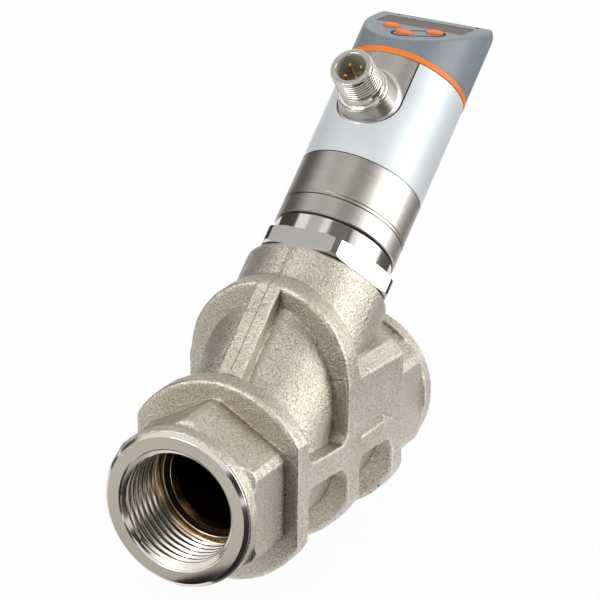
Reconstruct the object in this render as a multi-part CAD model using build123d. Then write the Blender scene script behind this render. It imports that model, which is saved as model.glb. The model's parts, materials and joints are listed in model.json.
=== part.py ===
from build123d import *
import os
from math import cos, radians, sin, sqrt, tan

# An inline flow sensor: a cast Y-pattern pipe body with a spring-loaded piston,
# and a swivelling steel head with a plug connector, a display and three keys.
# Millimetres. The origin is the centre of the inlet mouth, +X is the flow
# direction and +Z is the side on which the head stands.

# Pipe ends
body_length = 103.5
thread_bore_r = 16.62
thread_length = 17.0
thread_relief_r = 17.1
thread_relief_length = 2.6
passage_r = 13.4
mouth_face_r = 20.2
end_ring_r = 21.7
end_chamfer = 1.5
end_ring_length = 5.0
hex_across_flats = 41.0
hex_turned_r = 23.0
inlet_hex_length = 16.5
outlet_hex_length = 18.0

# Cast flanges, ribs and pads
core_r = 20.4
flange_thickness = 6.2
front_flange_r = 28.0
rear_flange_r = 27.2
mid_flange_r = 27.0
mid_flange_start = 49.0
mid_flange_thickness = 7.0
mid_flange_top_r = 23.8
mid_flange_top_z = 22.3
side_flat = 24.1
front_flange_flat_z = -27.4
top_rib_width = 7.0
top_rib_inset = 0.5
side_rib_height = 7.0
side_rib_z = 4.4
side_rib_drop = 2.9
pad_low_z = -0.5
pad_low_drop = 2.2
pad_high_z = 25.5
pad_high_drop = 2.0
pad_bevel = 3.5
pocket_corner_r = 3.5
cast_edge_r = 1.0
parting_bead = 0.25
parting_bead_width = 0.9

# Flow arrow raised on each pad
arrow_height = 0.45
arrow_root = 0.3
arrow_inset = 7.3
arrow_length = 17.9
arrow_width = 2.0
arrow_head_length = 5.5
arrow_head_width = 4.9
arrow_z = 3.5

# Neck for the head, measured along the head axis from where it meets the flow axis
head_foot_x = 32.0
head_angle = 40.0
neck_r = 20.0
neck_top = 58.0
neck_edge_r = 2.0
chamber_r = 15.5

# Valve seat, in the wall between the inlet and outlet sides
partition_low = 2.6
partition_high = 6.4
seat_hole_r = 10.4
seat_wall = 2.8
seat_flange_r = 14.6
seat_flange_thickness = 0.8

# Piston with its seal and magnet
lift = 14.0
seal_gap = 0.2
seal_thickness = 1.8
seal_outer_r = 12.4
seal_land_r = 8.2
nose_r = 9.5
nose_length = 7.0
nose_straight = 2.3
nose_tip_r = 4.5
nose_stud_r = 3.0
nose_stud_length = 4.0
disc_r = 12.8
disc_thickness = 3.0
hub_r = 8.7
hub_floor = 1.6
magnet_length = 6.0
magnet_wall = 2.5
magnet_cap_length = 2.0
hub_wall = 0.7
pocket_clearance = 0.03

# Probe tube, which guides the piston and holds the field sensor. Its reach is the
# length that stands in the hub while the valve is shut
probe_r = 5.2
probe_clearance = 0.08
probe_wall = 1.0
probe_end_gap = 1.0
probe_reach = 6.9
probe_flange_r = 8.5
probe_flange_thickness = 1.2

# Return spring
spring_wire_r = 0.7
spring_inner_gap = 0.5
spring_turns = 7

# Stem: the screwed-in steel piece that carries the head
stem_hex_across_flats = 36.0
stem_hex_turned_r = 20.3
stem_hex_height = 5.4
stem_thread_clearance = 0.06
stem_thread_length = 14.0
stem_thread_chamfer = 1.0
stem_recess_depth = 9.0
stem_recess_gap = 0.5
stem_collar_r = 16.8
stem_collar_height = 5.3
spigot_r = 12.5
spigot_height = 13.0
stem_seal_r = 0.7
stem_seal_room = 2.6

# Swivel joint between the stem and the head
slide_ring_thickness = 0.5
slide_ring_r = 16.4
swivel_gap = 0.08
swivel_seal_r = 0.55
swivel_seal_place = 3.4
head_r = 17.3
lower_ring_height = 5.6
lower_ring_spigot = 4.5
lower_ring_inner_height = 6.5
lower_ring_chamfer = 0.3
clip_thickness = 1.0
clip_groove_depth = 0.9
clip_reach = 1.9
clip_gap_angle = 40.0
clip_room = 0.6

# Steel housing tube with the connector boss
tube_wall = 1.3
tube_joint_gap = 0.35
tube_groove_place = 1.0
tube_groove_width = 0.4
tube_groove_depth = 0.3
tube_top = 121.0
boss_base_r = 8.3
boss_top_r = 7.3
boss_top = 20.4
connector_drop = 14.4

# Printed foil around the tube. Its foot is the band below the window for the boss
label_foot = 9.5
label_thickness = 0.15
label_window_half = 9.3
label_window_rise = 0.8
label_top_gap = 0.1

# Plug connector, measured out from the head axis
connector_end = 31.7
connector_thread_r = 6.0
connector_collar_r = 6.9
connector_collar_length = 2.6
connector_relief_r = 5.35
connector_relief_length = 0.9
connector_cup_r = 4.4
connector_tail_r = 4.95
connector_tail_length = 5.6
connector_lip = 0.4
insert_face_depth = 8.4
insert_clearance = 0.02
insert_tail = 12.8
key_width = 1.2
key_depth = 0.9
pin_r = 0.5
pin_circle_r = 2.5
pin_tip_depth = 1.8
pin_tail = 11.4
pin_clearance = 0.01
pin_chamfer = 0.25

# Light ring and display head
light_ring_height = 1.8
light_ring_r = 17.45
light_ring_edge_r = 0.25
display_spigot_r = 15.9
display_spigot_length = 4.5
display_wall = 2.9
display_height = 21.8
face_angle = 44.3
face_rise = 19.85
face_plate = 1.8
display_edge_r = 0.9

# Window in the sloping face, in the face's own plane: along is downhill, across is sideways
window_along = 4.6
window_length = 26.6
window_height = 8.0
window_thickness = 1.05
window_recess = 0.12
window_ledge = 1.0
window_corner_r = 0.8
window_clearance = 0.08
display_depth = 2.3
display_margin = 0.4

# Keys
key_spacing = 6.6
key_row_along = 12.0
set_key_along = 17.4
key_length = 4.8
key_height = 3.2
key_rise = 0.8
key_travel = 0.5
key_clearance = 0.15
key_flange = 0.6
key_flange_thickness = 0.6
key_flange_gap = 0.05
key_dome_r = 1.2
key_dome_gap = 0.15
key_edge_r = 0.35

# Boards and key mat inside the display head
board_thickness = 1.0
board_edge_gap = 0.2
mat_thickness = 0.6
mat_lift = 3.7
mat_length = 18.0
mat_height = 9.4
mat_corner_r = 1.5

# Signal lamps in a row above the window
lamp_count = 6
lamp_pitch = 4.2
lamp_length = 1.6
lamp_width = 0.7
lamp_along = -0.9
lamp_rise = 0.05
lamp_clearance = 0.02

# Main board in the housing tube. Each chip is given by its shares of the board's half
# width and length, then by its width and height
main_board_foot = 4.5
main_board_gap = 0.3
main_board_offset = 1.0
main_board_thickness = 1.2
main_board_chips = [(-0.46, 0.2, 7, 7), (0.4, 0.16, 5, 8), (-0.27, 0.65, 10, 5), (0.53, 0.71, 6, 4)]
chip_height = 1.1

# Sensor board in the probe tube
sensor_board_width = 5.6
sensor_board_length = 46.0
sensor_board_gap = 0.6
sensor_chip_width = 3.0
sensor_chip_length = 4.0

# Places that follow from the sizes above
rear_flange_end = body_length - end_ring_length - outlet_hex_length
rear_flange_start = rear_flange_end - flange_thickness
front_flange_start = end_ring_length + inlet_hex_length
front_flange_end = front_flange_start + flange_thickness
mid_flange_end = mid_flange_start + mid_flange_thickness
seat_top = partition_high + seat_flange_thickness
seal_low = seat_top + seal_gap
disc_low = seal_low + seal_thickness
disc_high = disc_low + disc_thickness
hub_bore_r = probe_r + probe_clearance
hub_bore_low = disc_low + nose_stud_length + hub_floor
probe_low = hub_bore_low + lift + probe_end_gap
hub_top = probe_low + probe_reach
stem_low = neck_top - stem_thread_length
recess_top = stem_low + stem_recess_depth
spring_mean_r = hub_r + spring_inner_gap + spring_wire_r
recess_r = spring_mean_r + spring_wire_r + stem_recess_gap
hex_top = neck_top + stem_hex_height
collar_top = hex_top + stem_collar_height
spigot_top = collar_top + spigot_height
head_low = collar_top + slide_ring_thickness + swivel_gap
swivel_bore_r = spigot_r + swivel_gap
joint_place = head_low + lower_ring_height
tube_low = joint_place + tube_joint_gap
tube_inner_r = head_r - tube_wall
clip_low = head_low + lower_ring_inner_height + swivel_gap
connector_place = tube_top - connector_drop
label_window_place = connector_place + label_window_rise
label_low = label_window_place - label_window_half - label_foot
display_low = tube_top + light_ring_height
display_inner_r = head_r - display_wall
display_top = display_low + display_height
face_place = display_low + face_rise
main_board_low = joint_place + lower_ring_spigot + main_board_foot
main_board_length = tube_top - display_spigot_length - main_board_gap - main_board_low

# The head axis, with its own frame: local Z runs along the axis,
# local X points to the connector and local Y to the -Y side of the body
head_frame = Plane(
    origin=(head_foot_x, 0, 0),
    x_dir=(-sin(radians(head_angle)), 0, cos(radians(head_angle))),
    z_dir=(cos(radians(head_angle)), 0, sin(radians(head_angle))),
)

# The sloping display face in the head's frame: local X runs downhill, local Z points out
face_frame = Plane(
    origin=(0, 0, face_place),
    x_dir=(cos(radians(face_angle)), 0, -sin(radians(face_angle))),
    z_dir=(sin(radians(face_angle)), 0, cos(radians(face_angle))),
)

# The connector in the head's frame: local Z points away from the head axis
connector_frame = Plane(origin=(0, 0, connector_place), x_dir=(0, 1, 0), z_dir=(1, 0, 0))

base = (Align.CENTER, Align.CENTER, Align.MIN)


def turned(*profile):
    """Revolve an outline of (radius, height) points about the Z axis."""
    outline = Polyline(*[(r, 0, z) for r, z in profile], close=True)
    return revolve(make_face(outline), Axis.Z, 360)


def rod(radius, low, high):
    """A round bar on the Z axis between two heights."""
    return Pos(0, 0, low) * Cylinder(radius, high - low, align=base)


def ring(outer_r, inner_r, low, high):
    """A flat-ended ring on the Z axis."""
    return rod(outer_r, low, high) - rod(inner_r, low, high)


def along_flow(shape):
    """Lay a shape that was made on the Z axis along the flow axis."""
    return Rot(0, 90, 0) * shape


def on_head(shape):
    """Stand a shape that was made on the Z axis on the head axis."""
    return head_frame.location * shape


def side_prism(outline, half_width):
    """Extrude an outline of (x, z) points to both sides of the symmetry plane."""
    sketch = make_face(Polyline(*[(x, 0, z) for x, z in outline], close=True))
    return extrude(sketch, half_width, both=True)


def half_space(level, above):
    """Everything on one side of a plane square to the head axis."""
    reach = 2 * body_length
    shift = level if above else level - reach
    return on_head(Pos(0, 0, shift) * Cylinder(reach, reach, align=base))


def pipe_end(hex_length):
    """Machined ring and cast hexagon of one pipe end, from the mouth inwards."""
    hex_end = end_ring_length + hex_length
    hexagon = RegularPolygon(hex_across_flats / 2, 6, major_radius=False)
    flats = Pos(0, 0, end_ring_length) * extrude(hexagon, hex_length)
    shoulder = hex_turned_r - end_ring_r
    limit = turned(
        (0, end_ring_length),
        (end_ring_r, end_ring_length),
        (hex_turned_r, end_ring_length + shoulder),
        (hex_turned_r, hex_end),
        (0, hex_end),
    )
    lip = turned(
        (0, 0),
        (mouth_face_r, 0),
        (end_ring_r, end_chamfer),
        (end_ring_r, end_ring_length),
        (0, end_ring_length),
    )
    return lip + (flats & limit)


def round_flange(radius, start):
    """A round flange with its sides cut flat, for the front or the rear."""
    disc = fillet(rod(radius, start, start + flange_thickness).edges(), cast_edge_r)
    reach = 2 * radius
    sides = Pos(0, 0, start) * Box(reach, 2 * side_flat, flange_thickness, align=base)
    return along_flow(disc & sides)


def middle_flange():
    """The tall flange that closes the dome: one arc about the flow axis, one higher up."""
    low_arc = Circle(mid_flange_r)
    high_arc = Pos(-mid_flange_top_z, 0) * Circle(mid_flange_top_r)
    outline = make_hull((low_arc + high_arc).edges())
    plate = extrude(outline, mid_flange_thickness)
    plate = fillet(plate.edges(), cast_edge_r)
    reach = 4 * mid_flange_r
    sides = Box(reach, 2 * side_flat, mid_flange_thickness, align=base)
    return along_flow(Pos(0, 0, mid_flange_start) * (plate & sides))


def side_frame():
    """Side ribs and pads, flush with the flange sides, the pads sloping back at the top."""
    rib_high = side_rib_z + side_rib_height / 2
    rib_low = side_rib_z - side_rib_height / 2
    rib = side_prism(
        [
            (front_flange_start, rib_high),
            (mid_flange_end, rib_high - side_rib_drop),
            (mid_flange_end, rib_low - side_rib_drop),
            (front_flange_start, rib_low),
        ],
        side_flat,
    )
    pad = side_prism(
        [
            (mid_flange_start, pad_high_z),
            (rear_flange_end, pad_high_z - pad_high_drop),
            (rear_flange_end, pad_low_z - pad_low_drop),
            (mid_flange_start, pad_low_z),
        ],
        side_flat,
    )
    upper_edges = pad.faces().sort_by(Axis.Z)[-1].edges().filter_by(lambda e: abs(e.center().Y) > 1)
    return rib + chamfer(upper_edges, pad_bevel)


def corner_web(x, z, toward_x, toward_z):
    """The rounded fill of one pocket corner, between a flange and a rib or a pad."""
    r = pocket_corner_r
    block = Pos(x + toward_x * r / 2, 0, z + toward_z * r / 2) * Box(r, 2 * side_flat, r)
    hollow = Pos(x + toward_x * r, 0, z + toward_z * r) * Rot(90, 0, 0) * Cylinder(r, 3 * side_flat)
    return block - hollow


def corner_webs():
    """All the rounded pocket corners that show on the body's sides."""
    rib_slope = side_rib_drop / (mid_flange_end - front_flange_start)
    front_drop = rib_slope * flange_thickness
    back_drop = rib_slope * (mid_flange_start - front_flange_start)
    high = side_rib_z + side_rib_height / 2
    low = side_rib_z - side_rib_height / 2
    pad_slope = pad_low_drop / (rear_flange_end - mid_flange_start)
    pad_near = pad_low_z - pad_slope * mid_flange_thickness
    pad_far = pad_low_z - pad_slope * (rear_flange_start - mid_flange_start)
    return (
        corner_web(front_flange_end, high - front_drop, 1, 1)
        + corner_web(front_flange_end, low - front_drop, 1, -1)
        + corner_web(mid_flange_start, high - back_drop, -1, 1)
        + corner_web(mid_flange_start, low - back_drop, -1, -1)
        + corner_web(mid_flange_end, pad_near, 1, -1)
        + corner_web(rear_flange_start, pad_far, -1, -1)
    )


def top_rib():
    """The rib over the dome, in the symmetry plane, from the front to the middle flange."""
    low_z = front_flange_r - top_rib_inset
    high_z = mid_flange_top_z + mid_flange_top_r - top_rib_inset
    rib = side_prism(
        [
            (front_flange_start + flange_thickness / 2, low_z),
            (front_flange_end, low_z),
            (mid_flange_start, high_z),
            (mid_flange_start + mid_flange_thickness / 2, high_z),
            (mid_flange_start + mid_flange_thickness / 2, 0),
            (front_flange_start + flange_thickness / 2, 0),
        ],
        top_rib_width / 2,
    )
    return rib


def neck():
    """The round neck along the head axis, with its edge cast round."""
    bar = rod(neck_r, 0, neck_top)
    rim = bar.edges().filter_by(GeomType.CIRCLE).sort_by(Axis.Z)[-1]
    return on_head(fillet(rim, neck_edge_r))


def parting_beads():
    """The fine raised seam that the mould halves leave on the neck."""
    bead = rod(neck_r + parting_bead, mid_flange_end - head_foot_x, neck_top - neck_edge_r)
    strip = Box(4 * neck_r, parting_bead_width, 4 * neck_top)
    return on_head(bead & strip)


def flow_arrow(side):
    """A plain raised arrow on one pad, pointing the way of the flow."""
    start = mid_flange_start + arrow_inset
    tip = start + arrow_length
    neck_x = tip - arrow_head_length
    upper = [
        (start, arrow_width / 2),
        (neck_x, arrow_width / 2),
        (neck_x, arrow_head_width / 2),
        (tip, 0),
    ]
    lower = [(x, -z) for x, z in reversed(upper[:-1])]
    outline = make_face(Polyline(*[(x, 0, z + arrow_z) for x, z in upper + lower], close=True))
    mark = extrude(outline, (arrow_height + arrow_root) / 2, both=True)
    return Pos(0, side * (side_flat + (arrow_height - arrow_root) / 2), 0) * mark


def thread_bores():
    """The two thread bores with their run-out grooves."""
    bores = []
    for mouth, inward in ((0, 1), (body_length, -1)):
        stop = thread_length + thread_relief_length
        bore = rod(thread_bore_r, 0, thread_length) + rod(thread_relief_r, thread_length, stop)
        bores.append(Pos(mouth, 0, 0) * Rot(0, 90 * inward, 0) * bore)
    return bores[0] + bores[1]


def inner_passages():
    """Inlet side, seat hole, piston chamber and outlet side."""
    inlet = along_flow(rod(passage_r, 0, body_length)) & half_space(partition_low, False)
    outlet = along_flow(rod(passage_r, 0, body_length)) & half_space(partition_high, True)
    chamber = on_head(rod(chamber_r, partition_high, neck_top))
    seat_hole = on_head(rod(seat_hole_r + seat_wall, 0, partition_high))
    return inlet + outlet + chamber + seat_hole


def make_valve_body():
    core = along_flow(rod(core_r, end_ring_length, body_length - end_ring_length))
    inlet_end = along_flow(pipe_end(inlet_hex_length))
    outlet_end = Pos(body_length, 0, 0) * Rot(0, -90, 0) * pipe_end(outlet_hex_length)
    cast = core + inlet_end + outlet_end
    cast += round_flange(front_flange_r, front_flange_start)
    cast += round_flange(rear_flange_r, rear_flange_start)
    cast += middle_flange()
    cast += neck() + parting_beads()
    cast += top_rib()
    cast += side_frame() + corner_webs()
    cast += flow_arrow(-1) + flow_arrow(1)
    reach = 4 * body_length
    cast -= Pos(0, 0, front_flange_flat_z - reach / 2) * Box(reach, reach, reach)
    cast -= thread_bores()
    return cast - inner_passages()


def make_seat_ring():
    outer = seat_hole_r + seat_wall - pocket_clearance
    return on_head(
        turned(
            (seat_hole_r, partition_low),
            (outer, partition_low),
            (outer, partition_high),
            (seat_flange_r, partition_high),
            (seat_flange_r, seat_top),
            (seat_hole_r, seat_top),
        )
    )


def make_piston_nose():
    nose_low = seal_low - nose_length
    return on_head(
        turned(
            (0, nose_low),
            (nose_tip_r, nose_low),
            (nose_r, seal_low - nose_straight),
            (nose_r, seal_low),
            (seal_land_r, seal_low),
            (seal_land_r, disc_low),
            (nose_stud_r, disc_low),
            (nose_stud_r, disc_low + nose_stud_length),
            (0, disc_low + nose_stud_length),
        )
    )


def make_piston_seal():
    return on_head(ring(seal_outer_r, seal_land_r + pocket_clearance, seal_low, disc_low))


def magnet_pocket_low():
    return hub_top - magnet_cap_length - magnet_length


def make_piston():
    pocket_r = hub_r - hub_wall
    stud_r = nose_stud_r + pocket_clearance
    return on_head(
        turned(
            (stud_r, disc_low),
            (disc_r, disc_low),
            (disc_r, disc_high),
            (hub_r, disc_high),
            (hub_r, hub_top),
            (pocket_r, hub_top),
            (pocket_r, magnet_pocket_low()),
            (hub_bore_r, magnet_pocket_low()),
            (hub_bore_r, hub_bore_low),
            (0, hub_bore_low),
            (0, disc_low + nose_stud_length),
            (stud_r, disc_low + nose_stud_length),
        )
    )


def make_piston_magnet():
    outer = hub_r - hub_wall - pocket_clearance
    low = magnet_pocket_low()
    return on_head(ring(outer, outer - magnet_wall, low, low + magnet_length))


def make_magnet_cap():
    outer = hub_r - hub_wall - pocket_clearance
    return on_head(ring(outer, hub_bore_r, hub_top - magnet_cap_length, hub_top))


def make_return_spring():
    low = disc_high + spring_wire_r
    height = recess_top - disc_high - 2 * spring_wire_r
    path = Helix(height / spring_turns, height, spring_mean_r, center=(0, 0, low))
    wire = Plane(origin=path @ 0, z_dir=path % 0) * Circle(spring_wire_r)
    return on_head(sweep(wire, path))


def make_probe_tube():
    inner = probe_r - probe_wall
    top = spigot_top + probe_flange_thickness
    return on_head(
        turned(
            (0, probe_low),
            (probe_r, probe_low),
            (probe_r, spigot_top),
            (probe_flange_r, spigot_top),
            (probe_flange_r, top),
            (inner, top),
            (inner, probe_low + probe_wall),
            (0, probe_low + probe_wall),
        )
    )


def make_sensor_board():
    low = probe_low + probe_wall + sensor_board_gap
    board = Box(board_thickness, sensor_board_width, sensor_board_length, align=base)
    chip_place = Pos((board_thickness + chip_height) / 2, 0, sensor_board_gap)
    chip = chip_place * Box(chip_height, sensor_chip_width, sensor_chip_length, align=base)
    return on_head(Pos(0, 0, low) * (board + chip))


def stem_seal_centre_r():
    return chamber_r - stem_thread_clearance - stem_seal_r


def make_stem():
    thread_r = chamber_r - stem_thread_clearance
    seal_seat_r = stem_seal_centre_r() - stem_seal_r
    clip_groove_r = spigot_r - clip_groove_depth
    groove_low = collar_top + swivel_seal_place - swivel_seal_r
    groove_high = groove_low + 2 * swivel_seal_r
    groove_r = spigot_r - 2 * swivel_seal_r
    bore_r = probe_r + pocket_clearance
    plug = turned(
        (bore_r, recess_top),
        (recess_r, recess_top),
        (recess_r, stem_low),
        (thread_r - stem_thread_chamfer, stem_low),
        (thread_r, stem_low + stem_thread_chamfer),
        (thread_r, neck_top - stem_seal_room),
        (seal_seat_r, neck_top - stem_seal_room),
        (seal_seat_r, neck_top),
        (stem_collar_r, neck_top),
        (stem_collar_r, collar_top),
        (spigot_r, collar_top),
        (spigot_r, groove_low),
        (groove_r, groove_low),
        (groove_r, groove_high),
        (spigot_r, groove_high),
        (spigot_r, clip_low),
        (clip_groove_r, clip_low),
        (clip_groove_r, clip_low + clip_thickness),
        (spigot_r, clip_low + clip_thickness),
        (spigot_r, spigot_top),
        (bore_r, spigot_top),
    )
    hexagon = Rot(0, 0, 30) * RegularPolygon(stem_hex_across_flats / 2, 6, major_radius=False)
    flats = Pos(0, 0, neck_top) * extrude(hexagon, stem_hex_height)
    limit = ring(stem_hex_turned_r, stem_collar_r - 1, neck_top, hex_top)
    return on_head(plug + (flats & limit))


def make_stem_o_ring():
    place = neck_top - stem_seal_room / 2
    return on_head(Pos(0, 0, place) * Torus(stem_seal_centre_r(), stem_seal_r))


def make_slide_ring():
    top = collar_top + slide_ring_thickness
    return on_head(ring(slide_ring_r, swivel_bore_r, collar_top, top))


def make_swivel_o_ring():
    place = collar_top + swivel_seal_place
    return on_head(Pos(0, 0, place) * Torus(spigot_r - swivel_seal_r, swivel_seal_r))


def make_retaining_clip():
    inner = spigot_r - clip_groove_depth + pocket_clearance
    top = clip_low + clip_thickness - pocket_clearance
    full = ring(spigot_r + clip_reach, inner, clip_low, top)
    reach = 2 * head_r
    half_gap = reach * tan(radians(clip_gap_angle / 2))
    mouth = make_face(Polyline((0, 0), (reach, half_gap), (reach, -half_gap), close=True))
    gap = Pos(0, 0, clip_low - clip_thickness) * extrude(mouth, 3 * clip_thickness)
    return on_head(full - gap)


def make_lower_ring():
    inner_top = head_low + lower_ring_inner_height
    spigot_outer = tube_inner_r - pocket_clearance
    cavity_r = spigot_r + clip_reach + clip_room
    spigot_end = joint_place + lower_ring_spigot
    return on_head(
        turned(
            (swivel_bore_r, head_low),
            (head_r - lower_ring_chamfer, head_low),
            (head_r, head_low + lower_ring_chamfer),
            (head_r, joint_place),
            (spigot_outer, joint_place),
            (spigot_outer, spigot_end),
            (cavity_r, spigot_end),
            (cavity_r, inner_top),
            (swivel_bore_r, inner_top),
        )
    )


def connector_boss():
    boss = Cone(boss_base_r, boss_top_r, boss_top - tube_inner_r, align=base)
    return connector_frame.location * Pos(0, 0, tube_inner_r) * boss


def make_housing_tube():
    groove_low = joint_place + tube_groove_place
    seat_r = head_r - label_thickness
    tube = turned(
        (tube_inner_r, tube_low),
        (head_r, tube_low),
        (head_r, groove_low),
        (head_r - tube_groove_depth, groove_low),
        (head_r - tube_groove_depth, groove_low + tube_groove_width),
        (head_r, groove_low + tube_groove_width),
        (head_r, label_low),
        (seat_r, label_low),
        (seat_r, tube_top),
        (tube_inner_r, tube_top),
    )
    hole = connector_frame.location * rod(connector_tail_r + pocket_clearance, 0, boss_top)
    inside = rod(tube_inner_r, tube_low, tube_top)
    return on_head(tube + (connector_boss() - inside) - hole)


def make_label_wrap():
    foil = ring(head_r, head_r - label_thickness, label_low, tube_top - label_top_gap)
    half = label_window_half
    slot_height = tube_top - label_window_place
    round_end = Pos(0, 0, label_window_place) * Rot(0, 90, 0) * Cylinder(half, 2 * head_r, align=base)
    slot_place = Pos(head_r, 0, label_window_place + slot_height / 2)
    straight = slot_place * Box(2 * head_r, 2 * half, slot_height)
    return on_head(foil - round_end - straight)


def make_connector_shell():
    collar_end = boss_top + connector_collar_length
    relief_end = collar_end + connector_relief_length
    shell = turned(
        (connector_cup_r, boss_top - connector_tail_length),
        (connector_tail_r, boss_top - connector_tail_length),
        (connector_tail_r, boss_top),
        (connector_collar_r, boss_top),
        (connector_collar_r, collar_end),
        (connector_relief_r, collar_end),
        (connector_relief_r, relief_end),
        (connector_thread_r, relief_end + connector_lip),
        (connector_thread_r, connector_end - connector_lip),
        (connector_thread_r - connector_lip, connector_end),
        (connector_cup_r, connector_end),
    )
    return on_head(connector_frame.location * shell)


def pin_places():
    return [Rot(0, 0, 45 + 90 * i) * Pos(pin_circle_r, 0, 0) for i in range(4)]


def make_connector_insert():
    outer_r = connector_cup_r - insert_clearance
    face = connector_end - insert_face_depth
    body = rod(outer_r, insert_tail, face)
    key_place = Pos(outer_r - key_depth / 2, 0, face)
    key = key_place * Box(key_depth, key_width, insert_face_depth - pin_tip_depth, align=base)
    body += key & rod(outer_r, face, connector_end)
    for place in pin_places():
        body -= place * rod(pin_r + pin_clearance, insert_tail, connector_end)
    return on_head(connector_frame.location * body)


def make_connector_pins():
    tip = connector_end - pin_tip_depth
    pin = turned(
        (0, pin_tail),
        (pin_r, pin_tail),
        (pin_r, tip - pin_chamfer),
        (pin_r - pin_chamfer, tip),
        (0, tip),
    )
    pins = [on_head(connector_frame.location * place * pin) for place in pin_places()]
    return Compound(children=pins)


def make_light_ring():
    outline = ring(light_ring_r, display_spigot_r + pocket_clearance, tube_top, display_low)
    rims = outline.edges().filter_by(GeomType.CIRCLE).sort_by(SortBy.RADIUS)[-2:]
    return on_head(fillet(rims, light_ring_edge_r))


def below_face(depth):
    """Everything behind a plane that lies at a depth under the sloping face."""
    reach = 6 * head_r
    return face_frame.location * Pos(0, 0, -depth) * Box(
        reach, reach, reach, align=(Align.CENTER, Align.CENTER, Align.MAX)
    )


def rounded_block(length, height, low, high, corner_r):
    """A block with rounded corners that lies in the face's plane."""
    sketch = RectangleRounded(height, length, corner_r)
    return Pos(0, 0, low) * extrude(sketch, high - low)


def key_places():
    """Centres of the keys in the face's plane, as (along, across)."""
    return {
        "key_up": (key_row_along, -key_spacing),
        "key_down": (key_row_along, key_spacing),
        "key_set": (set_key_along, 0),
    }


def key_outline(grow):
    return SlotOverall(key_length + 2 * grow, key_height + 2 * grow, rotation=90)


def key_hole(along, across):
    return Pos(along, across, -face_plate * 2) * extrude(key_outline(key_clearance), face_plate * 3)


def lamp_row(clearance, low, high):
    """The row of small signal lamps beside the window."""
    lamps = []
    for i in range(lamp_count):
        across = (i - (lamp_count - 1) / 2) * lamp_pitch
        block = Box(lamp_width + clearance, lamp_length + clearance, high - low, align=base)
        lamps.append(Pos(lamp_along, across, low) * block)
    return lamps


def make_display_housing():
    outer = rod(head_r, display_low, display_top) & below_face(0)
    top_edges = outer.edges().filter_by(lambda e: e.center().Z > display_low + display_edge_r)
    outer = fillet(top_edges, display_edge_r)
    spigot = rod(display_spigot_r, tube_top - display_spigot_length, display_low)
    inside = rod(display_inner_r, tube_top - display_spigot_length, display_top - face_plate)
    inside = inside & below_face(face_plate)
    pocket_depth = window_recess + window_thickness
    pocket = rounded_block(
        window_length + 2 * window_clearance,
        window_height + 2 * window_clearance,
        -pocket_depth,
        face_plate,
        window_corner_r,
    )
    view = rounded_block(
        window_length - 2 * window_ledge,
        window_height - 2 * window_ledge,
        -2 * face_plate,
        face_plate,
        window_corner_r,
    )
    openings = Pos(window_along, 0, 0) * (pocket + view)
    for along, across in key_places().values():
        openings += key_hole(along, across)
    for lamp in lamp_row(lamp_clearance, -2 * face_plate, face_plate):
        openings += lamp
    return on_head(outer + spigot - inside - face_frame.location * openings)


def make_display_window():
    top = -window_recess
    pane = rounded_block(window_length, window_height, top - window_thickness, top, window_corner_r)
    return on_head(face_frame.location * Pos(window_along, 0, 0) * pane)


def make_display_module():
    low = -mat_lift - board_thickness / 2
    length = window_length - 2 * window_ledge - 2 * display_margin
    height = window_height - 2 * window_ledge - 2 * display_margin
    block = Pos(window_along, 0, low) * Box(height, length, display_depth, align=base)
    return on_head(face_frame.location * block)


def make_display_board():
    high = -mat_lift - board_thickness / 2
    reach = 4 * head_r
    sheet = Pos(0, 0, high - board_thickness) * Box(reach, reach, board_thickness, align=base)
    limit = rod(display_inner_r - board_edge_gap, display_low, display_top - 2 * face_plate)
    return on_head((face_frame.location * sheet) & limit)


def make_signal_lamps():
    low = -mat_lift - board_thickness / 2
    lamps = [on_head(face_frame.location * lamp) for lamp in lamp_row(0, low, lamp_rise)]
    return Compound(children=lamps)


def key_flange_low():
    return -face_plate - key_flange_gap - key_flange_thickness


def make_key(along, across):
    cap = extrude(key_outline(0), key_rise - key_flange_low())
    cap = fillet(cap.faces().sort_by(Axis.Z)[-1].edges(), key_edge_r)
    foot = extrude(key_outline(key_flange), key_flange_thickness)
    return on_head(face_frame.location * Pos(along, across, key_flange_low()) * (cap + foot))


def make_key_mat():
    low = -mat_lift - board_thickness / 2
    high = low + mat_thickness
    centre_along = (key_row_along + set_key_along) / 2
    outline = RectangleRounded(mat_height, mat_length, mat_corner_r)
    mat = Pos(centre_along, 0, low) * extrude(outline, mat_thickness)
    dome_top = key_flange_low() - key_travel - key_dome_gap
    for along, across in key_places().values():
        mat += Pos(along, across, 0) * rod(key_dome_r, high, dome_top)
    return on_head(face_frame.location * mat)


def make_main_board():
    back = main_board_offset + main_board_thickness
    half_width = sqrt((tube_inner_r - board_edge_gap) ** 2 - back**2)
    board_align = (Align.MIN, Align.CENTER, Align.MIN)
    board = Box(main_board_thickness, 2 * half_width, main_board_length, align=board_align)
    for across, up, width, height in main_board_chips:
        chip = Box(chip_height, width, height, align=(Align.MAX, Align.CENTER, Align.MIN))
        board += Pos(0, across * half_width, up * main_board_length) * chip
    return on_head(Pos(main_board_offset, 0, main_board_low) * board)


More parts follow.
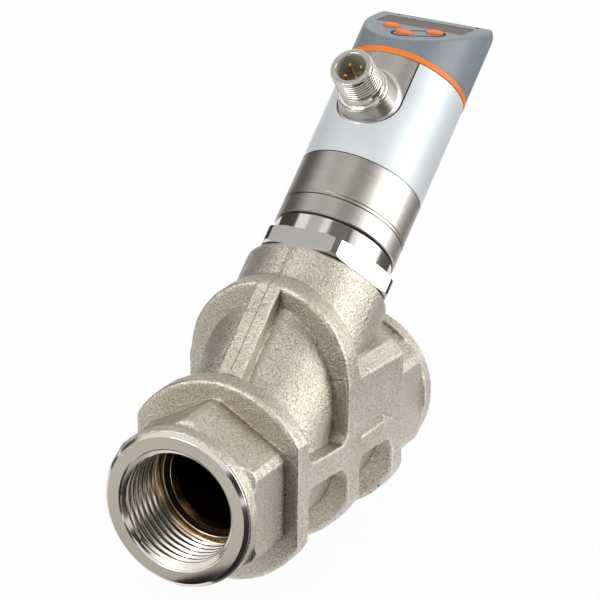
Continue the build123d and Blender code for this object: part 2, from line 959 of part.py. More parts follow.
parts = {
    "valve_body": make_valve_body(),
    "seat_ring": make_seat_ring(),
    "piston": make_piston(),
    "piston_nose": make_piston_nose(),
    "piston_seal": make_piston_seal(),
    "piston_magnet": make_piston_magnet(),
    "magnet_cap": make_magnet_cap(),
    "return_spring": make_return_spring(),
    "stem": make_stem(),
    "stem_o_ring": make_stem_o_ring(),
    "probe_tube": make_probe_tube(),
    "sensor_board": make_sensor_board(),
    "slide_ring": make_slide_ring(),
    "swivel_o_ring": make_swivel_o_ring(),
    "retaining_clip": make_retaining_clip(),
    "lower_ring": make_lower_ring(),
    "housing_tube": make_housing_tube(),
    "label_wrap": make_label_wrap(),
    "connector_shell": make_connector_shell(),
    "connector_insert": make_connector_insert(),
    "connector_pins": make_connector_pins(),
    "main_board": make_main_board(),
    "light_ring": make_light_ring(),
    "display_housing": make_display_housing(),
    "display_window": make_display_window(),
    "display_module": make_display_module(),
    "display_board": make_display_board(),
    "signal_lamps": make_signal_lamps(),
    "key_mat": make_key_mat(),
}
for key_name, (along, across) in key_places().items():
    parts[key_name] = make_key(along, across)

os.makedirs("parts", exist_ok=True)
for name, shape in parts.items():
    export_step(shape, f"parts/{name}.step")
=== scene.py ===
# %% [markdown]
# # An inline flow sensor
# A cast, nickel-plated pipe body carries a round steel head on an inclined neck. The
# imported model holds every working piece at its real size. This lesson gives each of them
# its finish, and remakes those whose looks need a finer mesh: the casting, the threads,
# the stem, the plug's shell and the keys. The printed lines, the flow arrows, the lamp
# strip and the flare at the plug's foot are added to the rest.
#
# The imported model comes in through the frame. Its pieces stay where they are, and every
# new piece rides on one of its bodies, so the swivel and the keys still work.

# %% Load the frame
import json
import math
import bmesh
import bpy
import numpy as np
from mathutils import Matrix, Vector, noise


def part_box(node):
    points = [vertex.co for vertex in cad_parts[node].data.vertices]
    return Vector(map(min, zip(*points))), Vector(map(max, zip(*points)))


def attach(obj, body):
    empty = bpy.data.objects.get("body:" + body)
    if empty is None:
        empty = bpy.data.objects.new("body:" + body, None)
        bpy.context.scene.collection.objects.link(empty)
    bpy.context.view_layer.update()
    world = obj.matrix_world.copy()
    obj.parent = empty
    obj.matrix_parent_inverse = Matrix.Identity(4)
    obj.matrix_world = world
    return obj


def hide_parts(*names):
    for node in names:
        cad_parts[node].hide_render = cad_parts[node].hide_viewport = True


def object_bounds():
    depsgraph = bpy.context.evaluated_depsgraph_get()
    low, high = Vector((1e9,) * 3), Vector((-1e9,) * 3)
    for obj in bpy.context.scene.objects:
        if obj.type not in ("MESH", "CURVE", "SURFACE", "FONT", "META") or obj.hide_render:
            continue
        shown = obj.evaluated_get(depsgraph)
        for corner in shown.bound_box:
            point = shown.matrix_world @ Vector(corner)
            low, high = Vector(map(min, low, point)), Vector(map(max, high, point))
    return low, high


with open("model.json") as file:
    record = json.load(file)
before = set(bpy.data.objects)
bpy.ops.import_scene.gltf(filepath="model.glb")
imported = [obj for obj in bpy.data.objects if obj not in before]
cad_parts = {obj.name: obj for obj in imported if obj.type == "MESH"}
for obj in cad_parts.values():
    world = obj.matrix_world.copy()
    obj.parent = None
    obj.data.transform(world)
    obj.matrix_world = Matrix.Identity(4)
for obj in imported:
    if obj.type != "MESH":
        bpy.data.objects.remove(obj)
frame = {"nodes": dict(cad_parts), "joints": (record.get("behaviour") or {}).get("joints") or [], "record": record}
cad_low, cad_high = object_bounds()
mm = 0.001

# %% [markdown]
# ## Camera
# The viewpoint was worked out from the ellipses that round edges make in the photograph:
# the inlet mouth, the light ring and the foil's lower edge. A long lens from more than a
# metre away keeps the flange lines nearly parallel, as they are there. The camera stands
# slightly rolled, so its three directions are given in full.

# %% Camera
camera_place = Vector((-0.879441, -0.512387, 0.468397))
camera_right = Vector((0.479762, -0.877347, 0.009526))
camera_up = Vector((0.323501, 0.186972, 0.927571))
camera_back = Vector((-0.815583, -0.441932, 0.373525))


def axes_matrix(x_axis, y_axis, z_axis, origin):
    """A placement with these three axes."""
    turn = Matrix((x_axis, y_axis, z_axis)).transposed().to_4x4()
    return Matrix.Translation(origin) @ turn


def linked(obj):
    """The object, put in the scene."""
    bpy.context.scene.collection.objects.link(obj)
    return obj


lens_length = 261.37
sensor_width = 36.0
farthest_seen = 20.0
camera_data = bpy.data.cameras.new("camera")
camera_data.lens = lens_length
camera_data.sensor_width = sensor_width
camera_data.clip_end = farthest_seen
camera = linked(bpy.data.objects.new("camera", camera_data))
camera.matrix_world = axes_matrix(camera_right, camera_up, camera_back, camera_place)
bpy.context.scene.camera = camera
bpy.context.scene.view_settings.view_transform = "Standard"
print("camera", round(camera_place.length, 2), "m from the inlet")

# %% [markdown]
# ## Floor
# The floor is plain white. A rendered floor is never quite as white as the page, and a
# bright lamp would burn it out. So what the camera and the metal see is mostly a steady
# white glow, with a share of the real floor mixed in. That share carries the soft shadow
# under the flanges.

# %% Floor
floor_glow = 0.96
floor_size = 6.0
floor_gap = 0.0005
floor_grey = 0.9
floor_roughness = 0.9


def new_material(name):
    """A material with its nodes, its links and its main shader."""
    made = bpy.data.materials.new(name)
    made.use_nodes = True
    shader = made.node_tree.nodes["Principled BSDF"]
    return made, made.node_tree.nodes, made.node_tree.links, shader


def worked(nodes, links, kind, operation, *values):
    """The result of a "Math" or "VectorMath" node, from sockets, numbers or vectors."""
    made = nodes.new("ShaderNode" + kind)
    made.operation = operation
    for socket, value in zip(made.inputs, values):
        if isinstance(value, bpy.types.NodeSocket):
            links.new(value, socket)
        else:
            socket.default_value = value
    return made.outputs["Value"] if operation == "LENGTH" else made.outputs[0]


def seen_as_page(nodes, links, amount):
    """A factor that is this amount where the page is seen, straight, in metal or through
    glass, and 0 where it only lights a surface."""
    path = nodes.new("ShaderNodeLightPath")
    factor = path.outputs["Is Camera Ray"]
    for kind in ("Is Glossy Ray", "Is Transmission Ray"):
        factor = worked(nodes, links, "Math", "MAXIMUM", factor, path.outputs[kind])
    return worked(nodes, links, "Math", "MULTIPLY", factor, amount)


def sheet_mesh(name, wide, high):
    """A flat sheet about its own centre."""
    mesh = bpy.data.meshes.new(name)
    corners = [(x * wide / 2, y * high / 2, 0) for x, y in ((-1, -1), (1, -1), (1, 1), (-1, 1))]
    mesh.from_pydata(corners, [], [(0, 1, 2, 3)])
    return mesh


floor = linked(bpy.data.objects.new("floor", sheet_mesh("floor", floor_size, floor_size)))
floor.location.z = cad_low.z - floor_gap
white, nodes, links, shader = new_material("floor_white")
shader.inputs["Base Color"].default_value = (floor_grey, floor_grey, floor_grey, 1)
shader.inputs["Roughness"].default_value = floor_roughness
glow = nodes.new("ShaderNodeEmission")
mixed = nodes.new("ShaderNodeMixShader")
links.new(seen_as_page(nodes, links, floor_glow), mixed.inputs["Fac"])
links.new(shader.outputs[0], mixed.inputs[1])
links.new(glow.outputs[0], mixed.inputs[2])
links.new(mixed.outputs[0], nodes["Material Output"].inputs["Surface"])
floor.data.materials.append(white)
print("floor at", round(floor.location.z / mm, 1), "mm")

# %% [markdown]
# ## Room and lamps
# Bare metal shows its surroundings more than its own colour. It mirrors a white page
# here, as on a product table, while the light that the room sheds is a gradient, warm and
# dim near the floor and pale above. A large soft box on the right gives the bright band
# on the head. Dark cards that the camera passes by give the metal something to mirror: the
# streaks on the polished faces, the band in the threads and the brown of the flanges.

# %% Room
low_light = (0.25, 0.215, 0.18)
high_light = (0.78, 0.79, 0.81)
gradient_foot = -0.25
gradient_top = 0.85


def mapped(nodes, links, source, from_low, from_high, to_low=0.0, to_high=1.0):
    """A source brought from one range of values into another."""
    made = nodes.new("ShaderNodeMapRange")
    made.inputs["From Min"].default_value = from_low
    made.inputs["From Max"].default_value = from_high
    made.inputs["To Min"].default_value = to_low
    made.inputs["To Max"].default_value = to_high
    links.new(source, made.inputs["Value"])
    return made.outputs[0]


world = bpy.data.worlds.new("studio")
bpy.context.scene.world = world
world.use_nodes = True
nodes = world.node_tree.nodes
links = world.node_tree.links
direction = nodes.new("ShaderNodeTexCoord")
apart = nodes.new("ShaderNodeSeparateXYZ")
links.new(direction.outputs["Generated"], apart.inputs[0])
height = mapped(nodes, links, apart.outputs["Z"], gradient_foot, gradient_top)
tone = nodes.new("ShaderNodeValToRGB")
tone.color_ramp.elements[0].color = (*low_light, 1)
tone.color_ramp.elements[1].color = (*high_light, 1)
page = nodes.new("ShaderNodeBackground")
page.inputs["Color"].default_value = (1, 1, 1, 1)
choose = nodes.new("ShaderNodeMixShader")
links.new(height, tone.inputs[0])
links.new(tone.outputs[0], nodes["Background"].inputs["Color"])
links.new(seen_as_page(nodes, links, 1.0), choose.inputs["Fac"])
links.new(nodes["Background"].outputs[0], choose.inputs[1])
links.new(page.outputs[0], choose.inputs[2])
links.new(choose.outputs[0], nodes["World Output"].inputs["Surface"])
print("light of the room from", low_light, "to", high_light)

# %% [markdown]
# Each lamp and card is placed by how far it stands to the right of the object, above it
# and out towards the camera. Those are the directions in which a photographer thinks.

# %% Lamps and cards
middle = (cad_low + cad_high) / 2
mat_lift = 0.0002


def aim(obj, right, up, back):
    """Stand an object beside the middle of the scene and turn its -Z side to it."""
    place = middle + camera_right * right + camera_up * up + camera_back * back
    obj.location = place
    obj.rotation_mode = "QUATERNION"
    obj.rotation_quaternion = (middle - place).to_track_quat("-Z", "Y")


def soft_box(name, right, up, back, wide, high, power, colour=(1, 1, 1)):
    """A rectangular soft box."""
    data = bpy.data.lights.new(name, "AREA")
    data.shape = "RECTANGLE"
    data.size = wide
    data.size_y = high
    data.energy = power
    data.color = colour
    aim(linked(bpy.data.objects.new(name, data)), right, up, back)


def sheet(name, wide, high, colour):
    """A dull sheet for the metal to mirror. The camera looks past it."""
    made = linked(bpy.data.objects.new(name, sheet_mesh(name, wide, high)))
    made.visible_camera = False
    material, _, _, sheet_shader = new_material(name)
    sheet_shader.inputs["Base Color"].default_value = (*colour, 1)
    sheet_shader.inputs["Roughness"].default_value = 1.0
    made.data.materials.append(material)
    return made


def card(name, right, up, back, wide, high, colour):
    """A sheet that stands up and faces the object."""
    aim(sheet(name, wide, high, colour), right, up, back)


def mat(name, right, ahead, wide, deep, colour):
    """A sheet that lies on the floor, this far to the right and away from the camera."""
    across = Vector((camera_right.x, camera_right.y, 0)).normalized()
    away = Vector((0, 0, 1)).cross(across)
    place = middle + across * right + away * ahead
    place.z = floor.location.z + mat_lift
    lying = sheet(name, wide, deep, colour)
    lying.matrix_world = axes_matrix(across, away, Vector((0, 0, 1)), place)


black = (0.012, 0.011, 0.010)
pale_brown = (0.60, 0.58, 0.54)
dark_brown = (0.08, 0.068, 0.056)
dark_grey = (0.25, 0.245, 0.24)
pale_grey = (0.82, 0.82, 0.82)
warm = (1.0, 0.97, 0.93)
# Boxes: right, up, back, wide, high, in metres, and watts.
soft_box("right_box", 0.85, 0.22, 0.20, 0.40, 0.9, 5.4)
soft_box("front_box", -0.75, 0.40, 0.80, 0.4, 0.4, 4.8, warm)
# Cards: right, up, back, wide, high.
card("sky_card", 0.28, 0.63, 0.70, 0.50, 0.6, dark_grey)
card("camera_card", 0.02, -0.10, 1.30, 1.25, 0.6, black)
card("top_card", -0.40, 0.95, 0.35, 0.45, 0.45, pale_grey)
card("back_card", -0.62, 0.55, -0.50, 0.95, 0.7, dark_brown)
card("right_card", 0.34, -0.05, 0.30, 0.10, 0.8, black)
# Mats: right, ahead, wide, deep.
mat("front_mat", 0.254, -0.42, 0.61, 0.70, black)
mat("left_mat", -0.37, -0.42, 0.65, 0.70, pale_brown)
mat("side_mat", -0.46, 0.12, 0.62, 0.38, dark_brown)
mat("right_mat", 0.42, 0.12, 0.62, 0.36, dark_brown)

# %% [markdown]
# ## Three axes, one lathe
# Nearly everything on this object is turned about the flow axis, the head axis or the
# plug's axis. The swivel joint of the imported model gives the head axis, so it isn't typed
# in again. A piece is drawn upright in millimetres, as on a drawing for a lathe, and a
# placement then stands it on its axis.

# %% Placements
joint_of = {joint["name"]: joint for joint in frame["joints"]}
head_axis = Vector(joint_of["head_swivel"]["axis"]).normalized()
swivel_point = Vector(joint_of["head_swivel"]["pos_m"])
head_foot = swivel_point - head_axis * (swivel_point.z / head_axis.z)
side_axis = Vector((0, -1, 0))
plug_axis = side_axis.cross(head_axis)
flow_axis = Vector((1, 0, 0))
body_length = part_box("valve_body")[1].x

on_head = axes_matrix(plug_axis, side_axis, head_axis, head_foot)
on_inlet = axes_matrix(Vector((0, 0, -1)), Vector((0, 1, 0)), flow_axis, Vector((0, 0, 0)))
on_outlet = axes_matrix(Vector((0, 0, 1)), Vector((0, 1, 0)), -flow_axis, flow_axis * body_length)
print("head axis", tuple(round(c, 4) for c in head_axis))
print("head foot", tuple(round(c, 4) for c in head_foot))

# %% [markdown]
# A profile is a list of (radius, height) corners. Real edges are never perfectly sharp,
# and the tiny round on them is what catches the light, so the first helper eases every
# corner. The lathe then spins the eased profile into a closed mesh, and the last helper
# puts a mesh in the scene.

# %% Lathe
most_of_side = 0.45
weld_distance = 1e-4


def eased(profile, radius, steps=3):
    """The closed profile with each corner rounded by about this radius."""
    points = [Vector(p) for p in profile]
    out = []
    for i, here in enumerate(points):
        to_before = points[i - 1] - here
        to_after = points[(i + 1) % len(points)] - here
        reach = min(radius, to_before.length * most_of_side, to_after.length * most_of_side)
        start = here + to_before.normalized() * reach
        end = here + to_after.normalized() * reach
        for k in range(steps + 1):
            t = k / steps
            out.append(tuple(start * (1 - t) ** 2 + here * (2 * t * (1 - t)) + end * t**2))
    return out


def finish_mesh(name, bm, angle=35.0):
    """The bmesh as a mesh, smooth except where it turns by more than an angle in degrees."""
    bmesh.ops.remove_doubles(bm, verts=bm.verts, dist=weld_distance)
    bmesh.ops.dissolve_degenerate(bm, dist=weld_distance, edges=bm.edges)
    bmesh.ops.recalc_face_normals(bm, faces=bm.faces)
    mesh = bpy.data.meshes.new(name)
    bm.to_mesh(mesh)
    bm.free()
    mesh.polygons.foreach_set("use_smooth", [True] * len(mesh.polygons))
    mesh.set_sharp_from_angle(angle=math.radians(angle))
    return mesh


def lathe(name, profile, segments=192, edge=0.12):
    """A closed solid of revolution from (radius, height) corners, in mm."""
    outline = eased(profile, edge) if edge else list(profile)
    turns = [2 * math.pi * i / segments for i in range(segments)]
    bm = bmesh.new()
    rings = []
    for r, z in outline:
        rings.append([bm.verts.new((r * math.cos(t), r * math.sin(t), z)) for t in turns])
    for low, high in zip(rings, rings[1:] + rings[:1]):
        for i in range(segments):
            j = (i + 1) % segments
            bm.faces.new((low[i], low[j], high[j], high[i]))
    return finish_mesh(name, bm)


def place_piece(name, mesh, placement, body, slot, *stands_for, weighted=True):
    """Put a mesh that was drawn in mm in the scene, on its body and with its finish.
    Weighted normals keep its flats flat beside their eased corners."""
    mesh.name = name
    mesh.transform(placement @ Matrix.Scale(mm, 4))
    piece = linked(bpy.data.objects.new(name, mesh))
    mesh.materials.clear()
    mesh.materials.append(finish[slot])
    if weighted:
        piece.modifiers.new("weighted", "WEIGHTED_NORMAL").keep_sharp = True
    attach(piece, body)
    if stands_for:
        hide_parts(*stands_for)
    return piece


print("lathe ready")

# %% [markdown]
# Three more helpers do what a machinist does after turning. The first bakes modifiers
# into a mesh, the second cuts a mesh with another, and the third saws a straight bar
# with any flat outline.

# %% Cuts
def settled(mesh, *changes):
    """The mesh after modifiers, each given as (kind, settings)."""
    holder = linked(bpy.data.objects.new("holder", mesh))
    for kind, settings in changes:
        modifier = holder.modifiers.new(kind.lower(), kind)
        for key, value in settings.items():
            setattr(modifier, key, value)
    bpy.context.view_layer.update()
    ready = holder.evaluated_get(bpy.context.evaluated_depsgraph_get())
    done = bpy.data.meshes.new_from_object(ready)
    bpy.data.objects.remove(holder)
    return done


def combined(mesh, other, operation):
    """The mesh after a boolean with another mesh."""
    tool = linked(bpy.data.objects.new("tool", other))
    done = settled(mesh, ("BOOLEAN", {"object": tool, "operation": operation, "solver": "EXACT"}))
    bpy.data.objects.remove(tool)
    return done


def prism(name, outline, low, high):
    """A straight prism over a flat outline, in mm."""
    bm = bmesh.new()
    foot = [bm.verts.new((x, y, low)) for x, y in outline]
    top = [bm.verts.new((x, y, high)) for x, y in outline]
    count = len(outline)
    for i in range(count):
        j = (i + 1) % count
        bm.faces.new((foot[i], foot[j], top[j], top[i]))
    bm.faces.new(list(reversed(foot)))
    bm.faces.new(top)
    return finish_mesh(name, bm)


print("cuts ready")

# %% [markdown]
# ## Building blocks for finishes
# Noise in each piece's own coordinates drives colour, roughness and bump. For turned and
# brushed metal the noise is first turned so that its Z lies along the axis of the work,
# and then drawn out across it. That gives fine rings round the piece.

# %% Noise helpers
noise_middle = (0.3, 0.7)
untouched = (1.0, 1.0, 1.0)


def axis_noise(nodes, links, scale, detail=4.0, rough=0.5, axis=None, around=1.0):
    """Noise with a scale in waves per metre. Along an axis it keeps that scale, and
    across it the scale shrinks by the share in around."""
    place = nodes.new("ShaderNodeTexCoord")
    source = place.outputs["Object"]
    if axis is not None:
        turn = nodes.new("ShaderNodeMapping")
        upright = axis.rotation_difference(Vector((0, 0, 1)))
        turn.inputs["Rotation"].default_value = upright.to_euler()
        links.new(source, turn.inputs["Vector"])
        squeeze = nodes.new("ShaderNodeMapping")
        squeeze.inputs["Scale"].default_value = (around, around, 1.0)
        links.new(turn.outputs[0], squeeze.inputs["Vector"])
        source = squeeze.outputs[0]
    cloud = nodes.new("ShaderNodeTexNoise")
    cloud.inputs["Scale"].default_value = scale
    cloud.inputs["Detail"].default_value = detail
    cloud.inputs["Roughness"].default_value = rough
    links.new(source, cloud.inputs["Vector"])
    return cloud.outputs["Fac"]


def ramp(nodes, links, source, *stops):
    """A colour ramp over a source, with stops of (place, colour)."""
    made = nodes.new("ShaderNodeValToRGB")
    elements = made.color_ramp.elements
    while len(elements) < len(stops):
        elements.new(0.5)
    for element, (place, colour) in zip(elements, stops):
        element.position = place
        element.color = (*colour, 1)
    links.new(source, made.inputs["Fac"])
    return made.outputs["Color"]


def steered(nodes, links, source, low, high):
    """The middle of a noise brought into a range of values."""
    return mapped(nodes, links, source, *noise_middle, low, high)


def multiplied(nodes, links, first, second):
    """Two colours multiplied."""
    mix = nodes.new("ShaderNodeMix")
    mix.data_type = "RGBA"
    mix.blend_type = "MULTIPLY"
    mix.inputs["Factor"].default_value = 1.0
    colours = [socket for socket in mix.inputs if socket.type == "RGBA"]
    links.new(first, colours[0])
    links.new(second, colours[1])
    return [socket for socket in mix.outputs if socket.type == "RGBA"][0]


def bumped(nodes, links, shader, source, depth, under=None):
    """Bump of a depth in metres. It can lie on top of another bump."""
    made = nodes.new("ShaderNodeBump")
    made.inputs["Distance"].default_value = depth
    links.new(source, made.inputs["Height"])
    if under is not None:
        links.new(under, made.inputs["Normal"])
    links.new(made.outputs[0], shader.inputs["Normal"])
    return made.outputs[0]


print("noise helpers ready")

# %% [markdown]
# ## The casting's finish
# Nickel over a sand casting is warm and pale on the faces that rub and brown-grey where
# sand left its deeper marks. Two bumps carry the sand: coarse pits about a millimetre
# apart, and the fine grain that makes the highlights sparkle. The pointiness of the
# mesh lightens edges with a painted highlight and darkens hollows with painted shade,
# and the inside of the waterway is darkened with painted shade as well. A hairline shows
# where the two halves of the mould met, behind the front flange, and short dark marks
# show where the edges were fettled.

# %% Cast nickel
seam_wander = 0.0003
seam_width = 0.00016
seam_start = 0.029
seam_brown = (0.42, 0.36, 0.30)
burr_waves = 330.0
burr_edges = (0.525, 0.56)
burr_clumps = (0.52, 0.60)
burr_brown = (0.34, 0.27, 0.21)
waterway_r = 0.0172
painted_bore_shade = (0.05, 0.04, 0.03)
grain_waves = 2000.0
grain_depth = 0.00022
grain_dark = (0.44, 0.385, 0.31)
grain_pale = (0.775, 0.74, 0.675)
pit_waves = 1100.0
pit_depth = 0.00015
patch_waves = 55.0
patch_tint = (0.90, 0.875, 0.84)
painted_hollow_shade = (0.44, 0.37, 0.29)
flat_tint = (0.82, 0.80, 0.77)


def seam_mark(nodes, links, drift):
    """A dark, slightly wandering hairline where the two halves of the mould met."""
    place = nodes.new("ShaderNodeTexCoord")
    apart = nodes.new("ShaderNodeSeparateXYZ")
    links.new(place.outputs["Object"], apart.inputs[0])
    wander = mapped(nodes, links, drift, 0.0, 1.0, -seam_wander, seam_wander)
    moved = worked(nodes, links, "Math", "ADD", apart.outputs["Y"], wander)
    off = worked(nodes, links, "Math", "ABSOLUTE", moved)
    share = worked(nodes, links, "Math", "DIVIDE", off, seam_width)
    before = worked(nodes, links, "Math", "LESS_THAN", apart.outputs["X"], seam_start)
    either = worked(nodes, links, "Math", "MAXIMUM", share, before)
    return ramp(nodes, links, either, (0.5, seam_brown), (1.0, untouched))


def burr_mark(nodes, links, pointiness):
    """Short dark marks along the sharpest edges, where the casting was fettled."""
    clump = axis_noise(nodes, links, burr_waves, detail=2.0)
    on_edge = mapped(nodes, links, pointiness, *burr_edges)
    in_clump = mapped(nodes, links, clump, *burr_clumps)
    both = worked(nodes, links, "Math", "MULTIPLY", on_edge, in_clump)
    return ramp(nodes, links, both, (0.25, untouched), (0.8, burr_brown))


def bore_shade_mark(nodes, links):
    """Painted shade inside the waterway, and white everywhere else."""
    place = nodes.new("ShaderNodeTexCoord").outputs["Object"]
    shares = (0, 1 / waterway_r, 1 / waterway_r)
    across = worked(nodes, links, "VectorMath", "MULTIPLY", place, shares)
    length = worked(nodes, links, "VectorMath", "LENGTH", across)
    return ramp(nodes, links, length, (0.94, painted_bore_shade), (1.0, untouched))


def cast_nickel(name, fettled):
    """Sand-cast nickel. The burr marks are left out where fettled is False."""
    made, nodes, links, shader = new_material(name)
    grain = axis_noise(nodes, links, grain_waves, detail=3.0, rough=0.65)
    pits = axis_noise(nodes, links, pit_waves, detail=2.0)
    patches = axis_noise(nodes, links, patch_waves, detail=3.0)
    colour = ramp(nodes, links, grain, (0.36, grain_dark), (0.56, grain_pale))
    tint = ramp(nodes, links, patches, (0.35, patch_tint), (0.65, untouched))
    shape = nodes.new("ShaderNodeNewGeometry").outputs["Pointiness"]
    # Painted highlight on the edges and painted shade in the hollows, from the mesh's pointiness.
    edge_highlight_hollow_shade = ramp(
        nodes, links, shape, (0.45, painted_hollow_shade), (0.492, flat_tint), (0.525, untouched)
    )
    marks = [tint, edge_highlight_hollow_shade, seam_mark(nodes, links, patches)]
    if fettled:
        marks.append(burr_mark(nodes, links, shape))
    # Painted shade darkens the inside of the waterway.
    marks.append(bore_shade_mark(nodes, links))
    for mark in marks:
        colour = multiplied(nodes, links, colour, mark)
    links.new(colour, shader.inputs["Base Color"])
    shader.inputs["Metallic"].default_value = 0.95
    links.new(steered(nodes, links, grain, 0.31, 0.45), shader.inputs["Roughness"])
    coarse = bumped(nodes, links, shader, pits, pit_depth)
    bumped(nodes, links, shader, grain, grain_depth, coarse)
    return made


print("cast finish ready")

# %% [markdown]
# ## Turned and brushed metal
# Fine rings stretch each reflection across the brush marks. The shader needs to know
# their direction. The cross product of the axis and the surface normal points along the
# marks, on the barrel as well as on each chamfer. It vanishes only where a face lies
# square to the axis.

# %% Turned metal
plug_height = 106.6
plug_thread_r = 0.006
painted_groove_shade = (0.07, 0.06, 0.05)
stain_tint = (0.92, 0.90, 0.87)
stain_waves = 70.0
fine_around = 0.006
broad_around = 0.02


def groove_shade_mark(nodes, links):
    """Painted shade between the turns of the plug's thread."""
    place = nodes.new("ShaderNodeTexCoord").outputs["Object"]
    plug_point = tuple(head_foot + head_axis * plug_height * mm)
    moved = worked(nodes, links, "VectorMath", "SUBTRACT", place, plug_point)
    share = tuple(plug_axis / plug_thread_r)
    across = worked(nodes, links, "VectorMath", "CROSS_PRODUCT", moved, share)
    length = worked(nodes, links, "VectorMath", "LENGTH", across)
    return ramp(nodes, links, length, (0.91, painted_groove_shade), (0.97, untouched))


def turned_metal(
    name, colour, axis, roughness, rings=5000.0, depth=0.00001, stretch=0.6, groove_shaded=False
):
    """Metal with rings round an axis, in waves per metre. Stretch is its anisotropy."""
    made, nodes, links, shader = new_material(name)
    fine = axis_noise(nodes, links, rings, 3.0, 0.6, axis, fine_around)
    broad = axis_noise(nodes, links, rings / 9, 2.0, 0.5, axis, broad_around)
    cloud = axis_noise(nodes, links, stain_waves, 3.0)
    dark = tuple(c * 0.93 for c in colour)
    base = ramp(nodes, links, broad, (0.3, dark), (0.7, colour))
    stain = ramp(nodes, links, cloud, (0.3, stain_tint), (0.7, untouched))
    base = multiplied(nodes, links, base, stain)
    # Painted shade between the turns of the plug's thread.
    if groove_shaded:
        base = multiplied(nodes, links, base, groove_shade_mark(nodes, links))
    links.new(base, shader.inputs["Base Color"])
    shader.inputs["Metallic"].default_value = 1.0
    shader.inputs["Anisotropic"].default_value = stretch
    normal = nodes.new("ShaderNodeNewGeometry").outputs["Normal"]
    along = worked(nodes, links, "VectorMath", "CROSS_PRODUCT", tuple(axis), normal)
    links.new(along, shader.inputs["Tangent"])
    polish = steered(nodes, links, fine, roughness * 0.9, roughness * 1.1)
    links.new(polish, shader.inputs["Roughness"])
    bumped(nodes, links, shader, fine, depth)
    return made


print("turned finish ready")

# %% [markdown]
# ## Plastics, rubber and paint
# Moulded pieces share one recipe: an even grain from the tool, a slight drift of tone,
# and a clear coat where the piece is glossy. The light ring and the keys also let light
# into their surface, which is why orange plastic looks warm at its thin edges.

# %% Moulded finishes
drift_waves = 90.0
coat_roughness = 0.08
light_reach = (0.0012, 0.0005, 0.00024)


def moulded(
    name, colour, roughness=0.5, grain=2500.0, depth=0.00003, coat=0.0, inner=0.0, metallic=0.0
):
    """A moulded surface. Inner is the share of light that enters it."""
    made, nodes, links, shader = new_material(name)
    fine = axis_noise(nodes, links, grain, 3.0)
    wide = axis_noise(nodes, links, drift_waves, 2.0)
    dark = tuple(c * 0.92 for c in colour)
    links.new(ramp(nodes, links, wide, (0.3, dark), (0.7, colour)), shader.inputs["Base Color"])
    shader.inputs["Metallic"].default_value = metallic
    shader.inputs["Coat Weight"].default_value = coat
    shader.inputs["Coat Roughness"].default_value = coat_roughness
    shader.inputs["Subsurface Weight"].default_value = inner
    shader.inputs["Subsurface Radius"].default_value = light_reach
    polish = steered(nodes, links, fine, roughness * 0.9, roughness * 1.15)
    links.new(polish, shader.inputs["Roughness"])
    bumped(nodes, links, shader, fine, depth)
    return made


print("moulded finish ready")

# %% [markdown]
# ## One finish for each slot
# The record names a material slot for every node. Each slot gets one finish here. A few
# visible pieces need a relative of their slot's finish, such as the polished mouth of the
# casting.

# %% Finishes
nickel = (0.80, 0.775, 0.735)
mouth_nickel = (0.82, 0.79, 0.73)
bore_brass = (0.80, 0.66, 0.50)
brass = (0.74, 0.58, 0.36)
steel = (0.58, 0.555, 0.525)
bright_steel = (0.76, 0.75, 0.73)
wire_steel = (0.6, 0.6, 0.6)
gold = (0.95, 0.55, 0.16)
orange = (1.0, 0.25, 0.03)
soot = (0.02, 0.02, 0.02)
finish = {
    "cast": cast_nickel("cast_nickel", True),
    "mark": cast_nickel("cast_mark", False),
    "mouth": turned_metal("turned_mouth", mouth_nickel, flow_axis, 0.15, 4500.0, 0.000006, 0.4),
    "bore": turned_metal("turned_bore", bore_brass, flow_axis, 0.20, 3500.0),
    "turned_brass": turned_metal("turned_brass", brass, head_axis, 0.28),
    "stainless": turned_metal("brushed_stainless", steel, head_axis, 0.30, 7500.0, 0.000005, 0.75),
    "polished_steel": turned_metal(
        "bright_steel", bright_steel, head_axis, 0.13, 4000.0, 0.000004, 0.3
    ),
    "plug_nickel": turned_metal("plug_nickel", nickel, plug_axis, 0.11, 4500.0, 0.000003, 0.2),
    # This finish paints shade between the turns of the plug's thread.
    "plug_turns": turned_metal("plug_turns", nickel, plug_axis, 0.13, 4500.0, 0.000003, 0.2, True),
    "spring_steel": turned_metal("spring_wire", wire_steel, head_axis, 0.3),
    "magnet": moulded("bonded_ferrite", (0.05, 0.05, 0.055), 0.6),
    "seal": moulded("seal_rubber", soot, 0.6),
    "slide": moulded("slide_plastic", soot, 0.5),
    "label": moulded("foil_white", (0.785, 0.84, 0.87), 0.45, 3000.0, 0.000004, metallic=0.2),
    "print": moulded("printed_black", (0.008, 0.008, 0.009), 0.9, 3000.0, 0.000004),
    "insert": moulded("insert_plastic", (0.50, 0.51, 0.43), 0.45),
    "gold": turned_metal("gold_plate", gold, plug_axis, 0.25, 3000.0, 0.000003, 0.0),
    "board": moulded("board_laminate", (0.03, 0.16, 0.08), 0.35, 2500.0, 0.00001, 0.4),
    "light_ring": moulded("light_ring_orange", orange, 0.45, 2000.0, 0.000008, 0.0, 0.1),
    "housing": moulded("housing_grey", (0.235, 0.268, 0.305), 0.40, 2600.0, 0.00002, 0.05),
    "window": moulded("window_tint", (0.105, 0.072, 0.062), 0.45, 2000.0, 0.000002),
    "display": moulded("display_glass", (0.01, 0.01, 0.01), 0.2, 2000.0, 0.000002, 0.6),
    "guide": moulded("light_guide", (0.66, 0.68, 0.70), 0.35, 2000.0, 0.000004, 0.2),
    "lamp": moulded("lamp_clear", (0.16, 0.14, 0.12), 0.15, 2000.0, 0.000004, 0.5),
    "keys": moulded("key_rubber", orange, 0.50, 1700.0, 0.00012, 0.0, 0.1),
    "mat": moulded("mat_silicone", (0.6, 0.6, 0.58), 0.6),
}
slot_of = {entry["node"]: entry["material_slot"] for entry in frame["record"]["subparts"]}
for node_name, node in frame["nodes"].items():
    if not node.material_slots:
        node.data.materials.append(finish[slot_of[node_name]])
    for material_slot in node.material_slots:
        material_slot.material = finish[slot_of[node_name]]
print("finishes:", len(finish), "for slots:", len(set(slot_of.values())))

